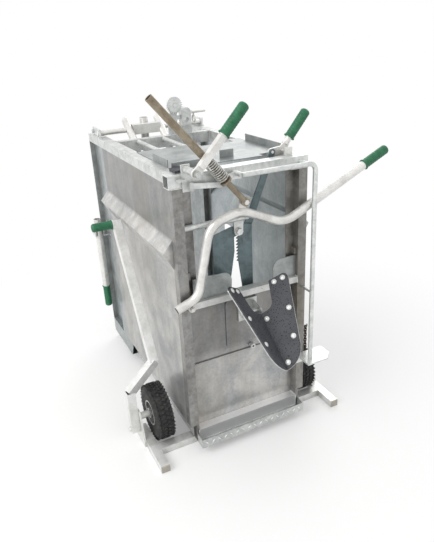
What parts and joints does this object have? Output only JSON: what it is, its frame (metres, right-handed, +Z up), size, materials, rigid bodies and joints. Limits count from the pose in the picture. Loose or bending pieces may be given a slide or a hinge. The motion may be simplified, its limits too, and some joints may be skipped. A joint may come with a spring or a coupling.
{
  "type": "dehorning crate",
  "caption": "Galvanised calf dehorning crate with a neck yoke, a bent head bar with a friction rod lock, a chin cradle, folding handles and wheels.",
  "frame": {"origin": "middle of the floor pan's top face, where the calf stands; the ground is 46 mm below it", "axes": "+Z up, -Y towards the front with the yoke and head bar, +X to the right seen from the front"},
  "size_m": [1.1917, 1.4621, 1.5304],
  "materials": {
    "galvanised_steel": "hot-dip galvanised, satin",
    "dull_zinc": "galvanised sheet and chequered plate, duller",
    "green_plastic": "ribbed moulded grip",
    "black_rubber": "speckled rubber mat",
    "tyre": "block tread",
    "bare_steel": "bare steel, slightly tanned",
    "rusty_steel": "oiled and rusty",
    "bolt_zinc": "bright zinc"
  },
  "bodies": {
    "crate": {"front_post_left": "galvanised_steel", "front_post_right": "galvanised_steel", "front_top_rail": "galvanised_steel", "front_mid_rail": "galvanised_steel", "front_bottom_rail": "galvanised_steel", "lower_front_panel": "galvanised_steel", "side_panel_left": "galvanised_steel", "side_panel_right": "galvanised_steel", "top_rail_left": "galvanised_steel", "top_rail_right": "galvanised_steel", "rear_post_left": "galvanised_steel", "rear_post_right": "galvanised_steel", "rear_cross_rail": "galvanised_steel", "floor_pan": "dull_zinc", "rear_runners": "galvanised_steel", "yoke_guides": "dull_zinc", "yoke_support": "galvanised_steel", "top_cover": "galvanised_steel", "cover_rods": "galvanised_steel", "rubber_pad": "black_rubber", "keeper_hoop": "galvanised_steel", "foot_plate": "galvanised_steel", "lock_bracket": "galvanised_steel", "restraint_chain": "rusty_steel", "cradle_bracket": "galvanised_steel", "handle_brackets": "galvanised_steel", "gate_brackets": "galvanised_steel", "winch_bracket": "galvanised_steel", "gate_shaft": "galvanised_steel", "frame_bolts": "galvanised_steel"},
    "head_bar": {"head_bar": "galvanised_steel", "head_bar_grip": "green_plastic"},
    "friction_rod": {"friction_rod": "bare_steel", "rod_spring": "galvanised_steel"},
    "lock_lever": {"lock_lever": "galvanised_steel", "lock_lever_grip": "green_plastic"},
    "yoke_lever": {"yoke_lever": "galvanised_steel", "yoke_lever_grip": "green_plastic"},
    "yoke_link": {"yoke_link": "galvanised_steel"},
    "yoke_leaf_left": {"yoke_leaf_left": "dull_zinc"},
    "yoke_leaf_right": {"yoke_leaf_right": "dull_zinc"},
    "chin_cradle": {"cradle_plate": "dull_zinc", "cradle_liner": "black_rubber", "cradle_bolts": "bolt_zinc"},
    "wheel_frame": {"skids": "galvanised_steel", "cross_tube": "galvanised_steel", "wheel_brackets": "galvanised_steel", "wheel_lever": "galvanised_steel", "wheel_lever_grip": "green_plastic"},
    "wheel_left": {"rim_left": "galvanised_steel", "tyre_left": "tyre"},
    "wheel_right": {"rim_right": "galvanised_steel", "tyre_right": "tyre"},
    "carry_handle_left": {"carry_handle_left": "galvanised_steel", "carry_grip_left": "green_plastic"},
    "carry_handle_right": {"carry_handle_right": "galvanised_steel", "carry_grip_right": "green_plastic"},
    "rump_gate": {"rump_gate": "galvanised_steel"},
    "winch_wheel": {"winch_wheel": "dull_zinc"},
    "winch_pawl": {"winch_pawl": "galvanised_steel"}
  },
  "joints": [
    {"name": "head_bar_pivot", "type": "hinge", "parent": "crate", "child": "head_bar", "pos_m": [-0.259, -0.61, 0.676], "axis": [0, 1, 0], "range_deg": [-9, 14]},
    {"name": "rod_pin", "type": "hinge", "parent": "head_bar", "child": "friction_rod", "pos_m": [-0.026, -0.637, 1.074], "axis": [0, 1, 0], "range_deg": [-21, 13.5]},
    {"name": "lock_lever_pivot", "type": "hinge", "parent": "crate", "child": "lock_lever", "pos_m": [-0.236, -0.676, 1.217], "axis": [0, 1, 0], "range_deg": [-25, 0]},
    {"name": "yoke_lever_pivot", "type": "hinge", "parent": "crate", "child": "yoke_lever", "pos_m": [0.226, -0.49, 1.21], "axis": [0, 1, 0], "range_deg": [-6, 14]},
    {"name": "yoke_link_pin", "type": "hinge", "parent": "yoke_lever", "child": "yoke_link", "pos_m": [0.176, -0.5, 1.21], "axis": [0, 1, 0], "range_deg": [-14, 6]},
    {"name": "left_leaf_pivot", "type": "hinge", "parent": "crate", "child": "yoke_leaf_left", "pos_m": [0.003, -0.513, 0.919], "axis": [0, 1, 0], "range_deg": [-6, 14]},
    {"name": "right_leaf_pivot", "type": "hinge", "parent": "crate", "child": "yoke_leaf_right", "pos_m": [0.003, -0.507, 0.919], "axis": [0, 1, 0], "range_deg": [-14, 6]},
    {"name": "cradle_pin", "type": "hinge", "parent": "crate", "child": "chin_cradle", "pos_m": [0.02, -0.604, 0.583], "axis": [1, 0, 0], "range_deg": [0, 45]},
    {"name": "wheel_frame_pivot", "type": "hinge", "parent": "crate", "child": "wheel_frame", "pos_m": [0, -0.51, -0.029], "axis": [-1, 0, 0], "range_deg": [0, 20]},
    {"name": "left_wheel_axle", "type": "hinge", "parent": "wheel_frame", "child": "wheel_left", "pos_m": [-0.376, -0.39, 0.084], "axis": [1, 0, 0], "continuous": true},
    {"name": "right_wheel_axle", "type": "hinge", "parent": "wheel_frame", "child": "wheel_right", "pos_m": [0.376, -0.39, 0.084], "axis": [1, 0, 0], "continuous": true},
    {"name": "left_handle_pivot", "type": "hinge", "parent": "crate", "child": "carry_handle_left", "pos_m": [-0.33, 0.5, 0.684], "axis": [1, 0, 0], "range_deg": [0, 90]},
    {"name": "right_handle_pivot", "type": "hinge", "parent": "crate", "child": "carry_handle_right", "pos_m": [0.33, 0.5, 0.684], "axis": [1, 0, 0], "range_deg": [0, 90]},
    {"name": "rump_gate_shaft", "type": "hinge", "parent": "crate", "child": "rump_gate", "pos_m": [0, 0.4, 1.218], "axis": [1, 0, 0], "range_deg": [0, 70]},
    {"name": "winch_spindle", "type": "hinge", "parent": "crate", "child": "winch_wheel", "pos_m": [0.058, 0.208, 1.339], "axis": [0, 1, 0], "continuous": true},
    {"name": "winch_pawl_pin", "type": "hinge", "parent": "crate", "child": "winch_pawl", "pos_m": [0.145, 0.23, 1.296], "axis": [1, 0, 0], "range_deg": [-30, 30]}
  ],
  "couplings": [
    {"joint": "rod_pin", "follows": "head_bar_pivot", "ratio": -1.5},
    {"joint": "yoke_link_pin", "follows": "yoke_lever_pivot", "ratio": -1},
    {"joint": "left_leaf_pivot", "follows": "yoke_lever_pivot", "ratio": 1},
    {"joint": "right_leaf_pivot", "follows": "yoke_lever_pivot", "ratio": -1}
  ]
}
